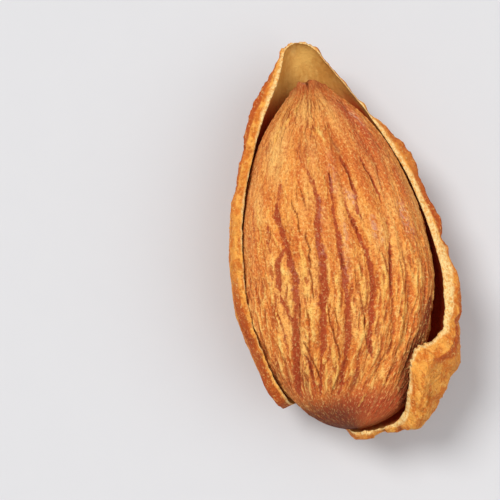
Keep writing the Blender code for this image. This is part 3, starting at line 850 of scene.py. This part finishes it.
class Finish:
    """One material, and the few ways in which its nodes are made."""

    def __init__(self, name):
        self.material = bpy.data.materials.new(name)
        self.material.use_nodes = True
        self.tree = self.material.node_tree
        self.shader = self.tree.nodes["Principled BSDF"]

    def join(self, value, socket):
        if isinstance(value, Strand):
            self.tree.links.new(value.socket, socket)
        else:
            socket.default_value = value

    def node(self, kind, settings, inputs, output=0):
        """Adds any node: its settings first, then the values or links of its sockets."""
        made = self.tree.nodes.new(kind)
        for name, value in settings.items():
            setattr(made, name, value)
        for key, value in inputs.items():
            self.join(value, made.inputs[key])
        return Strand(self, made.outputs[output])

    def marks(self, names):
        """Numbers that the piece's mesh carries."""
        kind = "ShaderNodeAttribute"
        return [self.node(kind, {"attribute_name": name}, {}, "Fac") for name in names.split()]

    def place(self, x, y, z):
        return self.node("ShaderNodeCombineXYZ", {}, {0: x, 1: y, 2: z})

    def scaled(self, place, factors):
        return self.node("ShaderNodeVectorMath", {"operation": "MULTIPLY"}, {0: place, 1: factors})

    def cloud(self, place, across, along, detail, roughness=0.5, distortion=0.0):
        """Soft chance values of about 0 to 1, so many in one unit of the place."""
        return self.node("ShaderNodeTexNoise", {}, {
            "Vector": self.scaled(place, (across, along, across)), "Scale": 1.0,
            "Detail": detail, "Roughness": roughness, "Distortion": distortion,
        })

    def step(self, low, high, value):
        """0 below low, 1 above high, and an even bend between."""
        return self.node("ShaderNodeMapRange", {"interpolation_type": "SMOOTHSTEP"}, {
            0: value, 1: low, 2: high, 3: 0.0, 4: 1.0,
        })

    def mix(self, share, under, over):
        return self.node("ShaderNodeMix", {"data_type": "RGBA"}, {
            0: share, 6: under, 7: over,
        }, 2)

    def coats(self, colour, *layers):
        """Lays tints over a colour, one after the other: each with its share, 0 to 1."""
        for share, *parts in layers:
            colour = self.mix(share, colour, tint(*parts))
        return colour

    def bump(self, height, distance):
        return self.node("ShaderNodeBump", {}, {
            "Strength": 1.0, "Distance": distance, "Height": height,
        })

    def finish(self, colour, roughness, normal, **plain):
        """Joins what varies over the piece, and sets what is the same all over it."""
        self.join(colour, self.shader.inputs["Base Color"])
        self.join(roughness, self.shader.inputs["Roughness"])
        self.join(normal, self.shader.inputs["Normal"])
        for name, value in plain.items():
            self.shader.inputs[name.replace("_", " ")].default_value = value
        return self.material


def tint(red, green, blue):
    """A colour as it looks on a screen, each part 0 to 255, in the shader's own scale."""
    parts = [value / 255 for value in (red, green, blue)]
    return tuple(p / 12.92 if p < 0.04 else ((p + 0.055) / 1.055) ** 2.4 for p in parts) + (1,)


def kernel_finish():
    """Thin brown skin: golden ridges, red-brown bands, dark creases and fine speckle; painted shade
    and highlights too.
    """
    skin = Finish("kernel_skin")
    place = skin.place(*skin.marks("skin_x skin_y skin_z"))
    furrow, band, ridge, crease, crinkle = skin.marks("furrow band ridge crease crinkle")
    face, left, tip, base, dark_end = skin.marks("face left tip base dark_end")
    ruddy, golden, dusty, deep = skin.marks("ruddy golden dusty deep")
    broad = skin.cloud(place, 0.45, 0.22, 2.0)
    streak = skin.cloud(place, 1.5, 0.55, 3.0, 0.6, 0.3)
    speckle = skin.cloud(place, 5.6, 4.6, 2.0, 0.75)
    fleck = skin.cloud(place, 3.0, 2.2, 2.0, 0.6, 0.4)

    gilt_and_light = skin.step(0.15, 0.85, golden + 0.5 * (fleck - 0.5) + 0.4 * (streak - 0.5))
    faded = skin.step(0.20, 0.86, band + 0.9 * (streak - 0.5) + 1.2 * (fleck - 0.5))
    shining = skin.step(0.30, 0.90, ridge + 1.2 * (streak - 0.5) + 1.0 * (fleck - 0.5))
    pale = skin.step(0.58, 0.70, streak) * (0.30 + 0.70 * skin.step(0.4, 1.0, ridge))
    dark = skin.step(0.49, 0.33, speckle)
    light = skin.step(0.52, 0.69, speckle)
    colour = skin.coats(
        skin.mix(skin.step(0.38, 0.62, streak), tint(216, 118, 46), tint(236, 152, 66)),
        (0.55 * skin.step(0.46, 0.66, broad), 252, 186, 100),
        # paler gold, partly painted light on the right of the face
        (0.60 * gilt_and_light, 250, 192, 108),
        (0.80 * ruddy, 184, 74, 38),
        (0.92 * faded, 162, 60, 28),
        (0.72 * shining * (1 - 0.8 * band), 246, 184, 90),
        (0.70 * pale * (1 - band), 250, 218, 132),
        # lilac dust, partly painted sheen
        (0.75 * skin.step(0.42, 0.60, fleck) * dusty, 216, 160, 138),
        (0.45 * left, 212, 128, 72),
        (0.22 * (1 - face) * (1 - left), 206, 108, 54),
        (0.60 * tip, 196, 92, 40),
        (0.80 * base, 188, 84, 40),
        # darker at the base's lower left: partly the skin's own colour, partly painted shade
        (0.85 * dark_end, 96, 44, 32),
        # painted highlight on the raised crinkles and painted shade in the sunk ones
        (0.55 * skin.step(-0.10, -0.50, crinkle) * (1 - faded), 255, 204, 112),
        (0.72 * skin.step(0.10, 0.46, crinkle), 164, 70, 26),
        # painted shade on the kernel's side under the flap, partly the skin's dark colour
        (0.80 * deep, 116, 34, 14),
        (0.36 * skin.step(0.47, 0.34, fleck) * (1 - faded), 184, 82, 34),
        (0.50 * dark * (1 - 0.4 * base), 166, 72, 24),
        (0.52 * light * (1 - 0.5 * base) * (1 - 0.35 * faded), 255, 208, 128),
        # dark creases: partly the skin's own colour, partly painted shade in them
        (0.72 * skin.step(0.12, 0.90, crease), 134, 48, 16),
    )

    roughness = 0.56 + 0.22 * speckle + 0.08 * furrow
    height = 1.0 * speckle + 0.6 * fleck + 0.5 * streak - 0.4 * crease
    normal = skin.bump(height, SKIN_BUMP)
    return skin.finish(colour, roughness, normal, Specular_IOR_Level=0.22)


def shell_finish():
    """Dry fibre: ochre and rust outside, smooth tan inside with painted shade deep in the hollow,
    cream where it is broken.
    """
    husk = Finish("shell_fibre")
    place = husk.scaled(husk.node("ShaderNodeTexCoord", {}, {}, "Object"), 3 * (1 / MM,))
    relief, pits, veins, hidden, rusty = husk.marks("relief pits veins hidden rusty")
    calm, past_lip, past_cream = husk.marks("calm past_lip past_cream")
    wild = 1 - 0.75 * calm
    broad = husk.cloud(place, 0.55, 0.22, 3.0, 0.6)
    mottle = husk.cloud(place, 1.5, 0.9, 3.0, 0.65)
    speckle = husk.cloud(place, 5.0, 4.0, 3.0, 0.7)
    fibre = husk.cloud(place, 5.0, 1.0, 3.0, 0.6)

    rust = husk.step(0.05, -0.65, relief + 1.8 * (broad - 0.5))
    rusted = husk.step(0.25, 0.75, rusty + 1.1 * (mottle - 0.5) + 0.8 * (speckle - 0.5))
    outside = husk.coats(
        husk.mix(husk.step(0.40, 0.60, mottle), tint(214, 118, 38), tint(244, 168, 72)),
        (0.70 * rust * wild, 184, 78, 18),
        (0.85 * rusted, 176, 66, 12),
        (0.75 * pits * wild, 150, 58, 12),
        (0.55 * husk.step(0.53, 0.70, speckle), 255, 208, 122),
        (0.50 * husk.step(0.47, 0.32, speckle), 160, 68, 14),
    )
    clouded = husk.step(0.35, 0.65, broad + 0.4 * (fibre - 0.5))
    lining = husk.coats(
        husk.mix(clouded, tint(208, 146, 68), tint(228, 176, 92)),
        (0.25 * husk.step(0.0, 0.9, veins), 250, 208, 128),
        # painted shade deep in the hollow
        (0.94 * hidden, 190, 58, 20),
    )
    broken = husk.coats(
        husk.mix(husk.step(0.36, 0.58, speckle), tint(232, 164, 82), tint(252, 216, 146)),
        (0.5 * husk.step(0.55, 0.70, fibre), 220, 140, 60),
    )

    edge = past_cream + 0.50 * (mottle - 0.5) + 0.35 * (speckle - 0.5)
    inner = husk.step(-0.02, -0.30, past_lip)
    colour = husk.mix(husk.step(-0.08, 0.14, edge), broken, outside)
    colour = husk.mix(inner, colour, lining)
    roughness = 0.66 + 0.22 * speckle - 0.14 * inner
    height = speckle * (1 - 0.7 * inner) + 0.5 * fibre * (1 - 0.6 * inner)
    height = height + 0.8 * mottle * (1 - inner)
    normal = husk.bump(height, SHELL_BUMP)
    return husk.finish(colour, roughness, normal, Specular_IOR_Level=0.24)


# ---- Floor, light and camera ----------------------------------------------------------------

CAMERA_ELEVATION = 86.0
CAMERA_ROLL = 6.5
CAMERA_DISTANCE = 105 * MM
CAMERA_LENS = 100.0
SENSOR = 36.0
FRAME_PIXELS = 500
AIM_HEIGHT = 6 * MM
AIM_PIXEL = (339.0, 237.1)  # where the point above the origin at that height stands in the frame
FLOOR_HALF = 3.0
FLOOR_CLOUDS = 400  # in a metre
SKY = 0.45
# Lights: the side that they shine from, their strength, their breadth in degrees, their colour
KEY_LIGHT = ((-0.50, 0.46, 1.0), 2.25, 24, (1.0, 0.99, 0.97))
FILL_LIGHT = ((0.75, -0.12, 1.0), 1.0, 60, (1.0, 1.0, 1.0))


def floor_finish():
    plain = Finish("pale_floor")
    place = plain.node("ShaderNodeTexCoord", {}, {}, "Object")
    cloud = plain.cloud(place, FLOOR_CLOUDS, FLOOR_CLOUDS, 3.0)
    colour = plain.mix(0.5 * cloud, tint(203, 203, 206), tint(206, 206, 208))
    return plain.finish(colour, 0.9 - 0.05 * cloud, plain.bump(cloud, FLOOR_BUMP))


def make_floor():
    mesh = bpy.data.meshes.new("floor")
    corners = [(FLOOR_HALF * x, FLOOR_HALF * y, 0) for x, y in ((-1, -1), (1, -1), (1, 1), (-1, 1))]
    mesh.from_pydata(corners, [], [(0, 1, 2, 3)])
    mesh.materials.append(floor_finish())
    floor = bpy.data.objects.new("floor", mesh)
    bpy.context.scene.collection.objects.link(floor)


def make_light(name, towards_light, strength, softness, colour):
    """A soft far light that shines from the given side."""
    data = bpy.data.lights.new(name, "SUN")
    data.energy = strength
    data.angle = math.radians(softness)
    data.color = colour
    light = bpy.data.objects.new(name, data)
    light.rotation_euler = Vector(towards_light).to_track_quat("Z", "Y").to_euler()
    bpy.context.scene.collection.objects.link(light)


def make_world(strength):
    world = bpy.data.worlds.new("studio")
    world.use_nodes = True
    sky = world.node_tree.nodes["Background"]
    sky.inputs["Color"].default_value = (1.0, 1.0, 1.0, 1)
    sky.inputs["Strength"].default_value = strength
    bpy.context.scene.world = world


def make_camera():
    """Looks down at the open side, with the almond right of the middle and leaning left."""
    tilt, roll = math.radians(CAMERA_ELEVATION), math.radians(CAMERA_ROLL)
    back = Vector((0, -math.cos(tilt), math.sin(tilt)))
    up = Vector((0, math.sin(tilt), math.cos(tilt)))
    right = Vector((1, 0, 0))
    across = math.cos(roll) * right - math.sin(roll) * up
    upward = math.cos(roll) * up + math.sin(roll) * right
    pixel = SENSOR / CAMERA_LENS * CAMERA_DISTANCE / FRAME_PIXELS
    middle = FRAME_PIXELS / 2
    aim = Vector((0, 0, AIM_HEIGHT))
    aim -= across * (AIM_PIXEL[0] - middle) * pixel
    aim += upward * (AIM_PIXEL[1] - middle) * pixel
    data = bpy.data.cameras.new("camera")
    data.lens = CAMERA_LENS
    data.sensor_width = SENSOR
    data.clip_start = 0.001
    camera = bpy.data.objects.new("camera", data)
    turn = Matrix((across, upward, back)).transposed().to_4x4()
    camera.matrix_world = Matrix.Translation(aim + back * CAMERA_DISTANCE) @ turn
    bpy.context.scene.collection.objects.link(camera)
    bpy.context.scene.camera = camera


def main():
    make_kernel()
    make_shell()
    make_floor()
    make_world(SKY)
    make_light("key_light", *KEY_LIGHT)
    make_light("fill_light", *FILL_LIGHT)
    make_camera()
    bpy.context.scene.view_settings.view_transform = "Standard"


main()
